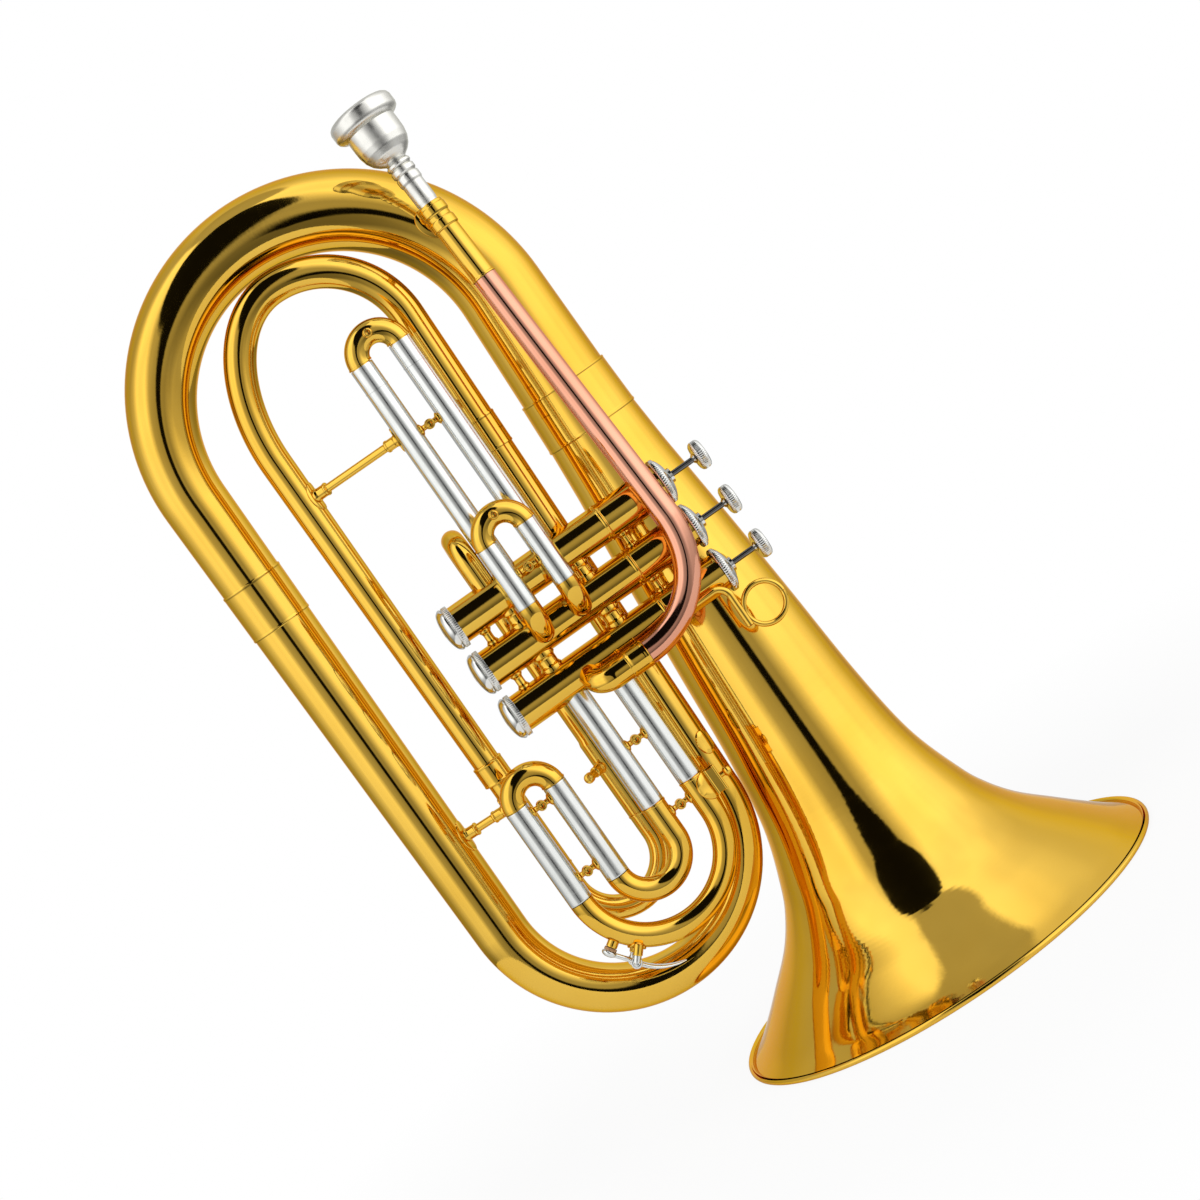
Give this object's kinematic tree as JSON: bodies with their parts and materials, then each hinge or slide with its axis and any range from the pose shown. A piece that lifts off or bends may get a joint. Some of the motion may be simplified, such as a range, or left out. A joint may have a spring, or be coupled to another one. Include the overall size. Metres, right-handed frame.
{
  "type": "marching euphonium",
  "caption": "Marching euphonium with a forward bell, side-by-side piston valves, pulling valve slides, a main tuning slide, a removable mouthpiece and a sprung water key.",
  "frame": {"origin": "centre of the part's outline seen from above, in the plane of the bell's rim, on which the part stands", "axes": "+Z along the bell's axis from the rim to the bows, +X towards the finger buttons, -Y towards the side with the leadpipe"},
  "size_m": [0.3451, 0.26, 0.5535],
  "materials": {
    "lacquer": "polished and clear lacquered",
    "rose_brass": "polished copper-rich brass",
    "nickel": "polished nickel silver",
    "silver_plate": "bright plated",
    "spring_steel": "drawn wire",
    "guide_plastic": "moulded",
    "cork": "natural cork"
  },
  "bodies": {
    "horn": {"bell": "lacquer", "bell_ferrule": "lacquer", "outer_bow": "lacquer", "bottom_ferrule": "lacquer", "bottom_branch": "lacquer", "lower_bow": "lacquer", "inner_top_branch": "lacquer", "inner_top_ferrule": "lacquer", "inner_bow": "lacquer", "inner_bottom_branch": "lacquer", "valve_casing_1": "lacquer", "valve_casing_2": "lacquer", "valve_casing_3": "lacquer", "top_cap_1": "silver_plate", "top_cap_2": "silver_plate", "top_cap_3": "silver_plate", "bottom_cap_1": "silver_plate", "bottom_cap_2": "silver_plate", "bottom_cap_3": "silver_plate", "valve_guide_1": "guide_plastic", "valve_guide_2": "guide_plastic", "valve_guide_3": "guide_plastic", "valve_spring_1": "spring_steel", "valve_spring_2": "spring_steel", "valve_spring_3": "spring_steel", "slide_1_sleeves": "nickel", "slide_2_sleeves": "nickel", "slide_2_upper_elbow": "lacquer", "slide_2_lower_elbow": "lacquer", "slide_3_sleeves": "nickel", "return_bow": "lacquer", "crossover_tube": "lacquer", "tuning_slide_sleeve": "lacquer", "mouthpiece_receiver": "lacquer", "leadpipe": "rose_brass", "inlet_elbow": "lacquer", "finger_hook": "lacquer", "post_1": "lacquer", "post_2": "lacquer", "bell_brace_1": "lacquer", "bell_brace_2": "lacquer", "receiver_brace": "lacquer"},
    "valve_1": {"piston_1": "nickel", "finger_button_1": "silver_plate"},
    "valve_2": {"piston_2": "nickel", "finger_button_2": "silver_plate"},
    "valve_3": {"piston_3": "nickel", "finger_button_3": "silver_plate"},
    "slide_1": {"slide_1_crook": "lacquer"},
    "slide_2": {"slide_2_crook": "lacquer"},
    "slide_3": {"slide_3_bends": "lacquer", "slide_3_lower_sleeves": "nickel", "music_clip_holder": "lacquer", "water_key_saddle": "nickel", "water_key_spring": "spring_steel"},
    "slide_3_tip": {"slide_3_crook": "lacquer"},
    "water_key": {"water_key_lever": "nickel", "water_key_cork": "cork"},
    "tuning": {"tuning_slide": "lacquer"},
    "mouthpiece": {"mouthpiece": "silver_plate"}
  },
  "joints": [
    {"name": "valve_1_press", "type": "slide", "parent": "horn", "child": "valve_1", "axis": [-1, 0, 0], "range_m": [0, 0.0135], "stiffness_N_per_m": 250, "springref_m": -0.012, "deforming": ["valve_spring_1"]},
    {"name": "valve_2_press", "type": "slide", "parent": "horn", "child": "valve_2", "axis": [-1, 0, 0], "range_m": [0, 0.0135], "stiffness_N_per_m": 250, "springref_m": -0.012, "deforming": ["valve_spring_2"]},
    {"name": "valve_3_press", "type": "slide", "parent": "horn", "child": "valve_3", "axis": [-1, 0, 0], "range_m": [0, 0.0135], "stiffness_N_per_m": 250, "springref_m": -0.012, "deforming": ["valve_spring_3"]},
    {"name": "slide_1_pull", "type": "slide", "parent": "horn", "child": "slide_1", "axis": [0, 0, 1], "range_m": [0, 0.03]},
    {"name": "slide_2_pull", "type": "slide", "parent": "horn", "child": "slide_2", "axis": [0, 0, 1], "range_m": [0, 0.016]},
    {"name": "slide_3_pull", "type": "slide", "parent": "horn", "child": "slide_3", "axis": [0, 0, -1], "range_m": [0, 0.036]},
    {"name": "slide_3_tip_pull", "type": "slide", "parent": "slide_3", "child": "slide_3_tip", "axis": [0, 0, 1], "range_m": [0, 0.005]},
    {"name": "water_key_press", "type": "hinge", "parent": "slide_3", "child": "water_key", "pos_m": [-0.10531, -0.049, 0.10174], "axis": [0, -1, 0], "range_deg": [0, 14], "stiffness_Nm_per_rad": 0.05, "springref_deg": -17.19},
    {"name": "tuning_pull", "type": "slide", "parent": "horn", "child": "tuning", "axis": [0, 0, -1], "range_m": [0, 0.018]},
    {"name": "mouthpiece_pull", "type": "slide", "parent": "horn", "child": "mouthpiece", "axis": [-0.0335, 0.1169, 0.9926], "range_m": [0, 0.022]}
  ]
}
